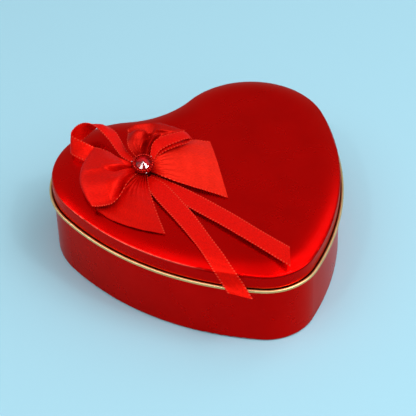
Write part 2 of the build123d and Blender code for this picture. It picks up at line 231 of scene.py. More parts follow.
# Rim bead: the rolled hem round the foot of the skirt, left without red and washed with
# clear gold lacquer. Below its middle it is painted a deeper orange gold, a painted
# reflection of the red round it.
BEAD_GOLD = (0.68, 0.51, 0.24)
BEAD_PAINTED_REFLECTION = (0.90, 0.46, 0.11)
BEAD_MIDDLE = 0.0384
BEAD_FADE = 0.0003
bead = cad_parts["rim_bead"]
gold, nodes, links, shader = new_material("bead_gold")
shader.inputs["Metallic"].default_value = 0.9
shader.inputs["Coat Weight"].default_value = 0.2
shader.inputs["Coat Roughness"].default_value = 0.1
place = nodes.new("ShaderNodeTexCoord")
wash = nodes.new("ShaderNodeTexNoise")
wash.inputs["Scale"].default_value = 220
wash.inputs["Detail"].default_value = 5
links.new(place.outputs["Object"], wash.inputs["Vector"])
tone = nodes.new("ShaderNodeValToRGB")
tone.color_ramp.elements[0].position = 0.3
tone.color_ramp.elements[0].color = (BEAD_GOLD[0] * 0.82, BEAD_GOLD[1] * 0.78, BEAD_GOLD[2] * 0.7, 1)
tone.color_ramp.elements[1].position = 0.7
tone.color_ramp.elements[1].color = (*BEAD_GOLD, 1)
links.new(wash.outputs["Fac"], tone.inputs["Fac"])
height = nodes.new("ShaderNodeSeparateXYZ")
links.new(place.outputs["Object"], height.inputs["Vector"])
turned = nodes.new("ShaderNodeMapRange")
turned.inputs["From Min"].default_value = BEAD_MIDDLE + BEAD_FADE
turned.inputs["From Max"].default_value = BEAD_MIDDLE - BEAD_FADE
links.new(height.outputs["Z"], turned.inputs["Value"])
# Below the bead's middle the gold turns a deeper orange: a painted reflection of the red lacquer round
# it.
painted_reflection = nodes.new("ShaderNodeMix")
painted_reflection.data_type = "RGBA"
painted_reflection.inputs["B"].default_value = (*BEAD_PAINTED_REFLECTION, 1)
links.new(turned.outputs["Result"], painted_reflection.inputs["Factor"])
links.new(tone.outputs["Color"], painted_reflection.inputs["A"])
links.new(painted_reflection.outputs["Result"], shader.inputs["Base Color"])
rub = nodes.new("ShaderNodeMapRange")
rub.inputs["To Min"].default_value = 0.22
rub.inputs["To Max"].default_value = 0.42
links.new(wash.outputs["Fac"], rub.inputs["Value"])
links.new(rub.outputs["Result"], shader.inputs["Roughness"])
dent = nodes.new("ShaderNodeBump")
dent.inputs["Strength"].default_value = 0.08
dent.inputs["Distance"].default_value = 0.0002
links.new(wash.outputs["Fac"], dent.inputs["Height"])
links.new(dent.outputs["Normal"], shader.inputs["Normal"])
finish_on(bead, gold)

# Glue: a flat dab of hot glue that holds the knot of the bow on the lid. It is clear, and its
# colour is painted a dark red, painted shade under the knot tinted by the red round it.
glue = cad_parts["glue_pad"]
clear_glue, nodes, links, shader = new_material("clear_glue")
shader.inputs["Subsurface Weight"].default_value = 0.4
shader.inputs["Subsurface Scale"].default_value = 0.002
place = nodes.new("ShaderNodeTexCoord")
swirl = nodes.new("ShaderNodeTexNoise")
swirl.inputs["Scale"].default_value = 500
links.new(place.outputs["Object"], swirl.inputs["Vector"])
# Dark red base colour: painted shade under the knot, tinted by the red round it.
painted_shade_tint = nodes.new("ShaderNodeValToRGB")
painted_shade_tint.color_ramp.elements[0].color = (0.10, 0.008, 0.006, 1)
painted_shade_tint.color_ramp.elements[1].color = (0.18, 0.018, 0.012, 1)
links.new(swirl.outputs["Fac"], painted_shade_tint.inputs["Fac"])
links.new(painted_shade_tint.outputs["Color"], shader.inputs["Base Color"])
skin = nodes.new("ShaderNodeMapRange")
skin.inputs["To Min"].default_value = 0.25
skin.inputs["To Max"].default_value = 0.5
links.new(swirl.outputs["Fac"], skin.inputs["Value"])
links.new(skin.outputs["Result"], shader.inputs["Roughness"])
finish_on(glue, clear_glue)

# Narrow back tail: one end of the 10 mm ribbon, laid flat on the lid towards the point
# of the heart and cut off slanting. It is woven satin with a row of picot loops on each edge.
MM = 0.001
NARROW_W = 10.4
SATIN_T = 0.3
PICOT_PITCH = 1.8
PICOT_OUT = 0.28
PLEAT_MOST = 1.6
WOVEN_KEPT = 0.97


def smooth_through(points, marks, places):
    """Points at these places on a smooth curve that passes each point at its mark."""
    slopes = []
    for i in range(len(points)):
        low, high = max(i - 1, 0), min(i + 1, len(points) - 1)
        slopes.append((points[high] - points[low]) / (marks[high] - marks[low]))
    curve, span = [], 0
    for place in places:
        while span < len(points) - 2 and place > marks[span + 1]:
            span += 1
        gap = marks[span + 1] - marks[span]
        t = (place - marks[span]) / gap
        rise = t * t * (3 - 2 * t)
        leave = gap * t * (1 - t) * (1 - t)
        arrive = gap * t * t * (t - 1)
        between = points[span] * (1 - rise) + points[span + 1] * rise
        curve.append(between + slopes[span] * leave + slopes[span + 1] * arrive)
    return curve


def satin_ribbon(name, width, stations, rows, columns, pleats=0, fade=12, looped=False, wave=0.06):
    """Ribbon through stations of right edge, left edge and swell, all in millimetres.

    The swell lists shares of the width from the right edge, each with a height over the
    straight line between the edges and, at a cut end, a reach forwards. Where the ribbon is
    drawn in narrower than it was woven, the spare width goes into pleats that fade from the knot.
    """
    rights = [Vector(station[0]) for station in stations]
    lefts = [Vector(station[1]) for station in stations]
    middles = [(right + left) / 2 for right, left in zip(rights, lefts)]
    last = len(stations) - 1
    shares = [j / (columns - 1) for j in range(columns)]
    ups, lines = [], []
    for i, (_, _, swell) in enumerate(stations):
        across = lefts[i] - rights[i]
        ahead = middles[min(i + 1, last)] - middles[min(i, last - 1)]
        behind = middles[max(i, 1)] - middles[max(i - 1, 0)]
        along = ahead.normalized() + behind.normalized()
        along = (along - across * (along.dot(across) / across.dot(across))).normalized()
        up = along.cross(across).normalized()
        line = [
            rights[i].lerp(lefts[i], share) + up * height + along * sum(reach)
            for share, height, *reach in swell
        ]
        ups.append(up)
        lines.append(smooth_through(line, [place[0] for place in swell], shares))
    centre = columns // 2
    gauges = (0, centre // 2, centre, centre + centre // 2, columns - 1)
    marks = [0]
    for near, far in zip(lines, lines[1:]):
        steps = [(far[j] - near[j]).length for j in gauges]
        marks.append(marks[-1] + sum(steps) / len(steps))
    places = [marks[-1] * i / (rows - 1) for i in range(rows)]
    rails = [smooth_through([line[j] for line in lines], marks, places) for j in range(columns)]
    lifts = [up.normalized() for up in smooth_through(ups, marks, places)]

    points, run = [], []
    for i, place in enumerate(places):
        run.append(0 if i == 0 else run[-1] + (rails[centre][i] - rails[centre][i - 1]).length)
        drawn_in = sum((rails[j + 1][i] - rails[j][i]).length for j in range(columns - 1))
        from_knot = min(place, marks[-1] - place) if looped else place
        taken_up = max(WOVEN_KEPT * width - drawn_in, 0) * math.exp(-((from_knot / fade) ** 2))
        spare = taken_up / drawn_in
        steep = 2 * math.sqrt(spare) * (1 + 0.2 * spare)
        layer = max(-1, min(1, 3 * lifts[i].z))
        swing = 0
        if pleats:
            swing = layer * min(steep * drawn_in / (2 * math.pi * pleats), PLEAT_MOST)
        picot = PICOT_OUT * (0.5 + 0.5 * math.cos(2 * math.pi * place / PICOT_PITCH))
        for j, share in enumerate(shares):
            fold = swing * math.sin(2 * math.pi * pleats * (share + 0.03 * math.sin(9 * share)))
            drift = wave * math.sin(0.42 * place + 11 * share) * math.sin(16 * share - 0.3 * place + 1)
            point = rails[j][i] + lifts[i] * (fold + drift)
            if j == 0:
                point = point + (rails[0][i] - rails[1][i]).normalized() * picot
            if j == columns - 1:
                point = point + (rails[j][i] - rails[j - 1][i]).normalized() * picot
            points.append(point * MM)
    faces = []
    for i in range(rows - 1):
        for j in range(columns - 1):
            corner = i * columns + j
            faces.append((corner, corner + columns, corner + columns + 1, corner + 1))
    mesh = bpy.data.meshes.new(name)
    mesh.from_pydata(points, [], faces)
    weave = mesh.uv_layers.new(name="weave")
    for loop in mesh.loops:
        i, j = divmod(loop.vertex_index, columns)
        weave.data[loop.index].uv = (width * j / (columns - 1), run[i])
    ribbon = bpy.data.objects.new(name, mesh)
    bpy.context.scene.collection.objects.link(ribbon)
    bpy.ops.object.select_all(action="DESELECT")
    ribbon.select_set(True)
    bpy.context.view_layer.objects.active = ribbon
    bpy.ops.object.modifier_add(type="SOLIDIFY")
    ribbon.modifiers["Solidify"].thickness = SATIN_T * MM
    ribbon.modifiers["Solidify"].offset = -1
    bpy.ops.object.modifier_apply(modifier="Solidify")
    bpy.ops.object.shade_smooth_by_angle(angle=math.radians(50))
    return ribbon


def satin(name, width, red, edge_highlight):
    """Warp-faced satin with fine threads along the ribbon. The selvedge on each edge is painted
    with highlights on its picot loops and painted shade between them.
    """
    material, nodes, links, shader = new_material(name)
    shader.inputs["Metallic"].default_value = 0.42
    shader.inputs["Specular IOR Level"].default_value = 0.3
    shader.inputs["Specular Tint"].default_value = (1, 0.30, 0.16, 1)
    shader.inputs["Anisotropic"].default_value = 0.5
    weave = nodes.new("ShaderNodeUVMap")
    weave.uv_map = "weave"
    apart = nodes.new("ShaderNodeSeparateXYZ")
    links.new(weave.outputs["UV"], apart.inputs["Vector"])

    threads = nodes.new("ShaderNodeMapping")
    threads.inputs["Scale"].default_value = (7, 0.9, 1)
    links.new(weave.outputs["UV"], threads.inputs["Vector"])
    warp = nodes.new("ShaderNodeTexNoise")
    warp.inputs["Scale"].default_value = 1
    warp.inputs["Detail"].default_value = 3
    links.new(threads.outputs["Vector"], warp.inputs["Vector"])

    from_middle = nodes.new("ShaderNodeMath")
    from_middle.operation = "SUBTRACT"
    from_middle.inputs[1].default_value = width / 2
    links.new(apart.outputs["X"], from_middle.inputs[0])
    off_middle = nodes.new("ShaderNodeMath")
    off_middle.operation = "ABSOLUTE"
    links.new(from_middle.outputs["Value"], off_middle.inputs[0])
    selvedge = nodes.new("ShaderNodeMapRange")
    selvedge.inputs["From Min"].default_value = width / 2 - 0.75
    selvedge.inputs["From Max"].default_value = width / 2 - 0.5
    links.new(off_middle.outputs["Value"], selvedge.inputs["Value"])
    pitch = nodes.new("ShaderNodeMath")
    pitch.operation = "MULTIPLY"
    pitch.inputs[1].default_value = 2 * math.pi / PICOT_PITCH
    links.new(apart.outputs["Y"], pitch.inputs[0])
    picot = nodes.new("ShaderNodeMath")
    picot.operation = "SINE"
    links.new(pitch.outputs["Value"], picot.inputs[0])
    knots = nodes.new("ShaderNodeMapRange")
    knots.inputs["From Min"].default_value = 0.3
    knots.inputs["From Max"].default_value = 0.8
    links.new(picot.outputs["Value"], knots.inputs["Value"])
    # Selvedge colour: painted highlights on the picot loops, painted shade in the gaps between them.
    painted_picots = nodes.new("ShaderNodeMix")
    painted_picots.data_type = "RGBA"
    painted_picots.inputs["A"].default_value = (red[0] * 0.8, red[1] * 0.6, red[2] * 0.6, 1)
    painted_picots.inputs["B"].default_value = (*edge_highlight, 1)
    links.new(knots.outputs["Result"], painted_picots.inputs["Factor"])

    bundles = nodes.new("ShaderNodeMapping")
    bundles.inputs["Scale"].default_value = (1.7, 0.55, 1)
    links.new(weave.outputs["UV"], bundles.inputs["Vector"])
    slubs = nodes.new("ShaderNodeTexNoise")
    slubs.inputs["Scale"].default_value = 1
    slubs.inputs["Detail"].default_value = 2
    links.new(bundles.outputs["Vector"], slubs.inputs["Vector"])
    cloth = nodes.new("ShaderNodeMath")
    cloth.operation = "MULTIPLY_ADD"
    cloth.inputs[1].default_value = 0.4
    links.new(warp.outputs["Fac"], cloth.inputs[0])
    thick = nodes.new("ShaderNodeMath")
    thick.operation = "MULTIPLY"
    thick.inputs[1].default_value = 0.6
    links.new(slubs.outputs["Fac"], thick.inputs[0])
    links.new(thick.outputs["Value"], cloth.inputs[2])
    shade = nodes.new("ShaderNodeValToRGB")
    shade.color_ramp.elements[0].position = 0.36
    shade.color_ramp.elements[0].color = (red[0] * 0.70, red[1] * 0.6, red[2] * 0.6, 1)
    shade.color_ramp.elements[1].position = 0.64
    shade.color_ramp.elements[1].color = (*red, 1)
    links.new(cloth.outputs["Value"], shade.inputs["Fac"])
    dye_and_painted_edge = nodes.new("ShaderNodeMix")
    dye_and_painted_edge.data_type = "RGBA"
    links.new(selvedge.outputs["Result"], dye_and_painted_edge.inputs["Factor"])
    links.new(shade.outputs["Color"], dye_and_painted_edge.inputs["A"])
    links.new(painted_picots.outputs["Result"], dye_and_painted_edge.inputs["B"])
    links.new(dye_and_painted_edge.outputs["Result"], shader.inputs["Base Color"])

    gloss = nodes.new("ShaderNodeMapRange")
    gloss.inputs["From Min"].default_value = 0.25
    gloss.inputs["From Max"].default_value = 0.75
    gloss.inputs["To Min"].default_value = 0.50
    gloss.inputs["To Max"].default_value = 0.36
    links.new(cloth.outputs["Value"], gloss.inputs["Value"])
    links.new(gloss.outputs["Result"], shader.inputs["Roughness"])
    grain = nodes.new("ShaderNodeTangent")
    grain.direction_type = "UV_MAP"
    grain.uv_map = "weave"
    links.new(grain.outputs["Tangent"], shader.inputs["Tangent"])

    edge = nodes.new("ShaderNodeMath")
    edge.operation = "MULTIPLY"
    links.new(selvedge.outputs["Result"], edge.inputs[0])
    links.new(knots.outputs["Result"], edge.inputs[1])
    relief = nodes.new("ShaderNodeMath")
    relief.operation = "ADD"
    links.new(cloth.outputs["Value"], relief.inputs[0])
    links.new(edge.outputs["Value"], relief.inputs[1])
    ribs = nodes.new("ShaderNodeBump")
    ribs.inputs["Strength"].default_value = 0.4
    ribs.inputs["Distance"].default_value = 0.00015
    links.new(relief.outputs["Value"], ribs.inputs["Height"])
    links.new(ribs.outputs["Normal"], shader.inputs["Normal"])
    return material


SATIN_RED = (0.86, 0.0030, 0.0011)
# Colour of the painted highlights on the picot loops of every satin.
SATIN_PAINTED_HIGHLIGHT = (0.86, 0.065, 0.032)
narrow_satin = satin("narrow_satin", NARROW_W, SATIN_RED, SATIN_PAINTED_HIGHLIGHT)
LAID = [(0, 0), (0.5, 0.15), (1, 0)]
back_tail = satin_ribbon(
    "narrow_back_ribbon",
    NARROW_W,
    [
        ((-33.0, 22.0, 51.9), (-30.8, 23.5, 51.9), LAID),
        ((-28.3, -4.0, 52.6), (-19.2, 0.5, 52.6), LAID),
        ((-17.4, -33.8, 53.3), (-8.3, -27.8, 53.3), LAID),
        ((-9.1, -57.1, 53.4), (-1.1, -48.9, 53.4), LAID),
        ((-1.3, -79.6, 53.2), (5.6, -66.8, 53.4), LAID),
    ],
    rows=420,
    columns=15,
)
finish_on(back_tail, narrow_satin)
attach(back_tail, "lid")
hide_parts("narrow_back_tail")

# Narrow front tail: the other end of the narrow ribbon. It lies over the back tail at the
# knot, runs to the front left edge of the lid and hangs over the skirt, cut off slanting.
front_tail = satin_ribbon(
    "narrow_front_ribbon",
    NARROW_W,
    [
        ((-36.0, 21.7, 52.4), (-32.4, 21.7, 52.4), LAID),
        ((-38.4, 9.6, 52.7), (-28.2, 11.6, 52.7), LAID),
        ((-36.8, -18.3, 52.8), (-26.3, -15.4, 52.8), LAID),
        ((-35.9, -38.5, 52.2), (-26.6, -40.5, 52.2), LAID),
        ((-35.9, -47.5, 51.4), (-26.6, -53.0, 51.7), LAID),
        ((-35.9, -54.0, 50.0), (-26.7, -61.5, 50.4), LAID),
        ((-35.8, -58.6, 48.6), (-26.4, -66.6, 48.9), LAID),
        ((-34.9, -61.4, 45.9), (-25.5, -69.4, 46.2), LAID),
        ((-34.0, -64.3, 43.2), (-24.6, -72.3, 43.5), LAID),
        ((-33.1, -69.3, 40.0), (-23.7, -78.9, 39.3), LAID),
    ],
    rows=440,
    columns=15,
)
finish_on(front_tail, narrow_satin)
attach(front_tail, "lid")
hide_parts("narrow_front_tail")

# Wide left tail: one end of the 50 mm ribbon, gathered at the knot and fanned out over the
# left of the lid under its own loop. The end is cut straight and bellies out a little.
WIDE_W = 46.0
WIDE_RED = (0.70, 0.0024, 0.0009)
wide_satin = satin("wide_satin", WIDE_W, WIDE_RED, SATIN_PAINTED_HIGHLIGHT)
left_tail = satin_ribbon(
    "wide_left_tail_ribbon",
    WIDE_W,
    [
        ((-38.2, 24.4, 53.6), (-34.6, 21.5, 53.6), [(0, 0), (0.2, 0.4), (0.4, 0), (0.6, 0.5), (1, 0)]),
        ((-48.5, 24.5, 53.8), (-37.5, 13.5, 53.7), [(0, 0), (0.2, 0.2), (0.45, 0.6), (0.7, 1.6), (1, 0)]),
        ((-59.0, 23.5, 53.4), (-40.0, 4.5, 53.2), [(0, 0), (0.2, 0.4), (0.45, 1.4), (0.7, 2.3), (1, 0)]),
        ((-67.5, 19.5, 52.4), (-43.3, -9.5, 52.5), [(0, 0), (0.2, 0.8), (0.45, 1.9), (0.7, 1.9), (1, 0)]),
        (
            (-69.5, 11.5, 51.5),
            (-46.4, -24.0, 52.1),
            [(0, 0, 0), (0.2, 0.2, 2.6), (0.45, 0.4, 3.4), (0.7, 0.3, 2.6), (1, 0, 0)],
        ),
    ],
    rows=170,
    columns=65,
    pleats=9,
    fade=11,
    wave=0.14,
)
finish_on(left_tail, wide_satin)
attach(left_tail, "lid")
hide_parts("wide_left_tail")

# Wide right tail: the other end of the wide ribbon, fanned out to the right and held up by
# the loops beside it, so its upper edge stands off the lid.
right_tail = satin_ribbon(
    "wide_right_tail_ribbon",
    WIDE_W,
    [
        ((-31.0, 23.4, 54.6), (-30.2, 27.4, 55.2), [(0, 0), (0.2, 0.4), (0.4, 0), (0.7, 0.4), (1, 0)]),
        (
            (-27.0, 15.5, 54.4),
            (-21.8, 33.5, 55.2),
            [(0, 0), (0.25, 1.3), (0.55, 3.1), (0.7, 3.3), (0.85, 2.2), (1, 0)],
        ),
        (
            (-18.5, 4.0, 53.5),
            (-13.0, 36.0, 55.4),
            [(0, 0), (0.2, 1.7), (0.41, 3.5), (0.6, 4.7), (0.72, 4.3), (0.85, 2.6), (1, 0)],
        ),
        (
            (-11.0, -5.0, 52.9),
            (-0.5, 34.2, 56.2),
            [(0, 0), (0.25, 1.5), (0.5, 2.7), (0.7, 2.8), (0.86, 1.9), (1, 0)],
        ),
        (
            (-3.3, -14.8, 52.2),
            (9.3, 29.5, 54.5),
            [(0, 0), (0.25, 0.8), (0.5, 1.4), (0.72, 1.4), (0.86, 0.8), (1, 0)],
        ),
    ],
    rows=170,
    columns=65,
    pleats=9,
    fade=7,
    wave=0.14,
)
# The right tail takes a lighter copy of the satin: painted sheen.
RIGHT_TAIL_PAINTED_SHEEN = (0.88, 0.017, 0.007)
finish_on(right_tail, satin("right_tail_painted_sheen_satin", WIDE_W, RIGHT_TAIL_PAINTED_SHEEN, SATIN_PAINTED_HIGHLIGHT))
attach(right_tail, "lid")
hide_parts("wide_right_tail")

# Narrow left loop: the narrow ribbon stands on edge in a tall loop behind the wide one,
# turns over once at the back and comes down again on top of the knot.
TURNED = [(0, 0), (0.3, 1.1), (0.6, 1.4), (1, 0)]
narrow_left = satin_ribbon(
    "narrow_left_ribbon",
    NARROW_W,
    [
        ((-35.8, 30.2, 52.4), (-38.3, 27.6, 52.4), LAID),
        ((-44.0, 43.5, 52.8), (-49.5, 36.5, 52.4), LAID),
        ((-50.5, 53.5, 57.0), (-56.0, 47.0, 53.0), LAID),
        ((-55.5, 58.5, 60.2), (-60.5, 55.3, 52.8), LAID),
        ((-59.5, 65.5, 61.6), (-62.5, 61.5, 53.2), LAID),
        ((-55.0, 69.7, 62.5), (-58.3, 66.0, 53.4), LAID),
        ((-50.0, 70.0, 63.2), (-51.2, 68.2, 53.6), LAID),
        ((-46.7, 67.3, 63.6), (-44.8, 70.6, 54.6), TURNED),
        ((-45.1, 63.8, 63.4), (-40.8, 70.0, 56.8), TURNED),
        ((-43.9, 60.0, 62.6), (-38.0, 67.1, 58.8), TURNED),
        ((-42.4, 52.2, 60.8), (-35.4, 59.0, 59.0), LAID),
        ((-42.0, 44.6, 59.4), (-35.4, 51.2, 57.6), LAID),
        ((-41.4, 37.6, 58.6), (-36.4, 41.8, 57.5), LAID),
        ((-38.8, 32.0, 58.2), (-36.2, 34.0, 57.9), LAID),
        ((-36.6, 29.3, 58.1), (-35.0, 30.0, 58.0), LAID),
    ],
    rows=440,
    columns=15,
)
finish_on(narrow_left, narrow_satin)
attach(narrow_left, "lid")
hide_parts("narrow_left_loop")

# Wide left loop: the wide ribbon gathered at the knot, swelling in two soft pleats to a
# round fold and running back underneath.
UNDER = [(0, 0), (0.5, 0.4), (1, 0)]
# The left loop takes its own slightly lighter copy of the satin: painted light.
LEFT_LOOP_PAINTED_RED = (0.72, 0.0024, 0.0010)
left_loop_painted_satin = satin("left_loop_painted_satin", WIDE_W, LEFT_LOOP_PAINTED_RED, SATIN_PAINTED_HIGHLIGHT)
left_loop = satin_ribbon(
    "wide_left_loop_ribbon",
    WIDE_W,
    [
        (
            (-37.4, 29.8, 56.6),
            (-38.5, 24.2, 55.8),
            [
                (0, 0), (0.15, 0.5), (0.35, 0.5), (0.45, -0.7), (0.6, 0.6), (0.75, 0.9),
                (0.9, 0.2), (1, 0),
            ],
        ),
        (
            (-42.8, 35.8, 58.8),
            (-48.5, 17.4, 57.4),
            [
                (0, 0), (0.14, 1.3), (0.28, 2.0), (0.37, 2.0), (0.415, -3.3), (0.46, 0.5),
                (0.54, 1.7), (0.68, 2.6), (0.79, 1.8), (0.9, -2.4), (0.95, -0.6), (1, 0.8),
            ],
        ),
        (
            (-46.5, 42.0, 60.5),
            (-57.1, 9.1, 57.8),
            [
                (0, 0), (0.15, 1.8), (0.3, 2.9), (0.385, 2.8), (0.435, -2.2), (0.48, 1.6),
                (0.57, 3.0), (0.7, 3.9), (0.81, 2.4), (0.91, -2.4), (0.955, -0.5), (1, 0.8),
            ],
        ),
        (
            (-50.0, 48.0, 60.7),
            (-63.6, 7.2, 56.7),
            [
                (0, 0), (0.15, 1.8), (0.35, 3.3), (0.5, 3.4), (0.6, 3.8), (0.73, 3.8),
                (0.85, 1.6), (0.93, 0.2), (1, 0.2),
            ],
        ),
        (
            (-52.5, 51.4, 59.3),
            (-72.0, 13.4, 54.4),
            [(0, 0), (0.12, 2.6), (0.3, 5.6), (0.5, 7.1), (0.7, 6.0), (0.87, 3.0), (1, 0)],
        ),
        ((-50.5, 47.5, 56.2), (-67.0, 16.5, 53.6), UNDER),
        ((-44.5, 38.5, 54.0), (-53.0, 22.0, 54.6), UNDER),
        ((-38.0, 30.0, 55.0), (-38.8, 25.5, 55.0), UNDER),
    ],
    rows=260,
    columns=97,
    pleats=9,
    fade=7,
    wave=0.14,
    looped=True,
)
finish_on(left_loop, left_loop_painted_satin)
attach(left_loop, "lid")
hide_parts("wide_left_loop")

# Wide right loop: the same ribbon on the other side. It stands steeply behind the stone, with
# one broad petal, a sharp crease, a thin upright pleat and a flat run to the right. Its hidden
# run back to the knot is drawn up in small creases.
CREASES = 10
CREASE_DOWN = 1.9
CREASE_UP = -0.9
CREASED = [(0, 0)]
for crease in range(1, CREASES):
    CREASED.append((crease / CREASES, CREASE_DOWN if crease % 2 else CREASE_UP))
CREASED.append((1, 0))
right_loop = satin_ribbon(
    "wide_right_loop_ribbon",
    WIDE_W,
    [
        (
            (-30.0, 28.2, 56.8),
            (-33.8, 30.2, 57.4),
            [(0, 0), (0.2, -0.2), (0.38, 0.6), (0.45, -0.3), (0.6, 0.4), (0.85, 0.6), (1, 0)],
        ),
        (
            (-21.5, 36.2, 55.8),
            (-36.0, 38.5, 60.6),
            [
                (0, 0), (0.15, 0.6), (0.3, 0.5), (0.38, 2.8), (0.46, -2.6), (0.56, 0.8),
                (0.75, 1.9), (0.9, 1.4), (1, 0),
            ],
        ),
        (
            (-12.5, 39.3, 56.2),
            (-35.0, 43.8, 62.2),
            [
                (0, 0), (0.15, 1.2), (0.34, 0.9), (0.42, 4.6), (0.51, -3.4), (0.59, 1.4),
                (0.75, 2.9), (0.9, 2.2), (1, 0),
            ],
        ),
        (
            (-3.5, 40.1, 56.8),
            (-32.0, 48.8, 62.6),
            [
                (0, 0), (0.2, 2.2), (0.41, 1.8), (0.5, 4.8), (0.6, -2.8), (0.68, 2.9),
                (0.77, 4.4), (0.88, 3.9), (1, 0),
            ],
        ),
        (
            (-1.6, 40.8, 57.2),
            (-31.2, 50.4, 62.4),
            [
                (0, 0), (0.2, 2.2), (0.36, 2.8), (0.5, 3.2), (0.6, 0), (0.7, 0.3),
                (0.8, 0.6), (0.9, 0.8), (1, 0),
            ],
        ),
        (
            (-0.6, 42.2, 57.8),
            (-30.2, 52.6, 63.0),
            [
                (0, 0), (0.12, 1.0), (0.25, 2.3), (0.38, 3.4), (0.5, 3.8), (0.62, 3.6),
                (0.75, 3.4), (0.88, 2.6), (1, 0),
            ],
        ),
        ((-7.0, 41.0, 54.8), (-31.5, 46.5, 56.6), CREASED),
        ((-18.0, 36.5, 54.4), (-33.0, 38.5, 55.2), CREASED),
        ((-30.2, 28.4, 55.6), (-33.4, 30.2, 55.9), UNDER),
    ],
    rows=260,
    columns=73,
    pleats=9,
    fade=7,
    wave=0.14,
    looped=True,
)
# The right loop takes a darker copy of the satin: painted shade.
RIGHT_LOOP_PAINTED_SHADE = (0.50, 0.0017, 0.0007)
finish_on(right_loop, satin("right_loop_painted_shade_satin", WIDE_W, RIGHT_LOOP_PAINTED_SHADE, SATIN_PAINTED_HIGHLIGHT))
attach(right_loop, "lid")
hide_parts("wide_right_loop")

# Narrow right loop: a short bight of the narrow ribbon that stands over the right tail, with
# its open side to the front.
narrow_right = satin_ribbon(
    "narrow_right_ribbon",
    NARROW_W,
    [
        ((-30.0, 24.8, 56.8), (-29.9, 27.0, 57.0), LAID),
        ((-22.6, 29.8, 60.2), (-22.9, 37.0, 60.2), LAID),
        ((-18.8, 29.9, 61.8), (-19.1, 38.2, 61.8), LAID),
        ((-10.6, 29.4, 63.0), (-11.6, 37.6, 62.6), LAID),
        ((-4.5, 29.5, 62.6), (-4.6, 36.8, 62.2), LAID),
        ((-2.0, 29.6, 61.2), (-1.9, 36.3, 60.8), LAID),
        ((-4.5, 29.0, 60.0), (-4.5, 38.0, 59.4), LAID),
        ((-14.0, 28.0, 60.9), (-14.0, 38.0, 60.2), LAID),
        ((-22.5, 28.5, 59.0), (-22.5, 36.8, 58.2), LAID),
        ((-30.1, 25.0, 55.8), (-29.9, 28.2, 56.0), LAID),
    ],
    rows=260,
    columns=15,
)
finish_on(narrow_right, narrow_satin)
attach(narrow_right, "lid")
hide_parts("narrow_right_loop")

# Knot: the gathered middles of both ribbons, bound round with red thread and glued down.
# Its top slopes to the front to seat the stone's cup. The thread is painted near black,
# painted shade under the stone.
KNOT = Vector((-0.0342, 0.0260, 0.0514))
KNOT_R = 0.0044
KNOT_H = 0.0082
KNOT_CUTS = 24
THREAD_TURNS = 12
PUCKERS = 9
GEM_LEAN = Vector((-0.1313, -0.2611, 0.9563))
GEM_SEAT = Vector((-0.0342, 0.0260, 0.0583))
bpy.ops.object.select_all(action="DESELECT")
bpy.ops.mesh.primitive_cylinder_add(
    vertices=64, radius=KNOT_R, depth=KNOT_H, location=KNOT + Vector((0, 0, KNOT_H / 2))
)
knot = bpy.context.object
knot.name = "bound_knot"
bpy.ops.object.transform_apply(location=True, rotation=True, scale=True)
bpy.ops.object.mode_set(mode="EDIT")
for cut in range(1, KNOT_CUTS):
    bpy.ops.mesh.select_all(action="SELECT")
    bpy.ops.mesh.bisect(plane_co=KNOT + Vector((0, 0, KNOT_H * cut / KNOT_CUTS)), plane_no=(0, 0, 1))
bpy.ops.mesh.select_all(action="SELECT")
bpy.ops.mesh.bisect(plane_co=GEM_SEAT, plane_no=GEM_LEAN, use_fill=True, clear_outer=True)
bpy.ops.object.mode_set(mode="OBJECT")
for vertex in knot.data.vertices:
    out = Vector((vertex.co.x - KNOT.x, vertex.co.y - KNOT.y, 0))
    if out.length > 0.9 * KNOT_R:
        level = (vertex.co.z - KNOT.z) / KNOT_H
        around = math.atan2(out.y, out.x)
        bound = 0.03 * math.cos(2 * math.pi * THREAD_TURNS * level)
        pinch = 1 - 0.10 * math.sin(math.pi * min(level, 1)) + bound
        pucker = 1 + 0.025 * math.cos(PUCKERS * around)
        vertex.co.x = KNOT.x + out.x * pinch * pucker
        vertex.co.y = KNOT.y + out.y * pinch * pucker
bpy.ops.object.shade_smooth_by_angle(angle=math.radians(40))
binding, nodes, links, shader = new_material("knot_painted_shade")
shader.inputs["Specular IOR Level"].default_value = 0.02
place = nodes.new("ShaderNodeTexCoord")
strands = nodes.new("ShaderNodeTexWave")
strands.bands_direction = "Z"
strands.inputs["Scale"].default_value = 420
strands.inputs["Distortion"].default_value = 1.5
links.new(place.outputs["Object"], strands.inputs["Vector"])
# Near black thread colour: painted shade under the stone.
painted_shade_thread = nodes.new("ShaderNodeValToRGB")
painted_shade_thread.color_ramp.elements[0].color = (0.012, 0.0002, 0.0002, 1)
painted_shade_thread.color_ramp.elements[1].color = (0.05, 0.0005, 0.0005, 1)
links.new(strands.outputs["Fac"], painted_shade_thread.inputs["Fac"])
links.new(painted_shade_thread.outputs["Color"], shader.inputs["Base Color"])
lustre = nodes.new("ShaderNodeMapRange")
lustre.inputs["To Min"].default_value = 0.65
lustre.inputs["To Max"].default_value = 0.45
links.new(strands.outputs["Fac"], lustre.inputs["Value"])
links.new(lustre.outputs["Result"], shader.inputs["Roughness"])
twist = nodes.new("ShaderNodeBump")
twist.inputs["Strength"].default_value = 0.5
twist.inputs["Distance"].default_value = 0.0002
links.new(strands.outputs["Fac"], twist.inputs["Height"])
links.new(twist.outputs["Normal"], shader.inputs["Normal"])
finish_on(knot, binding)
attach(knot, "lid")
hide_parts("bow_knot")

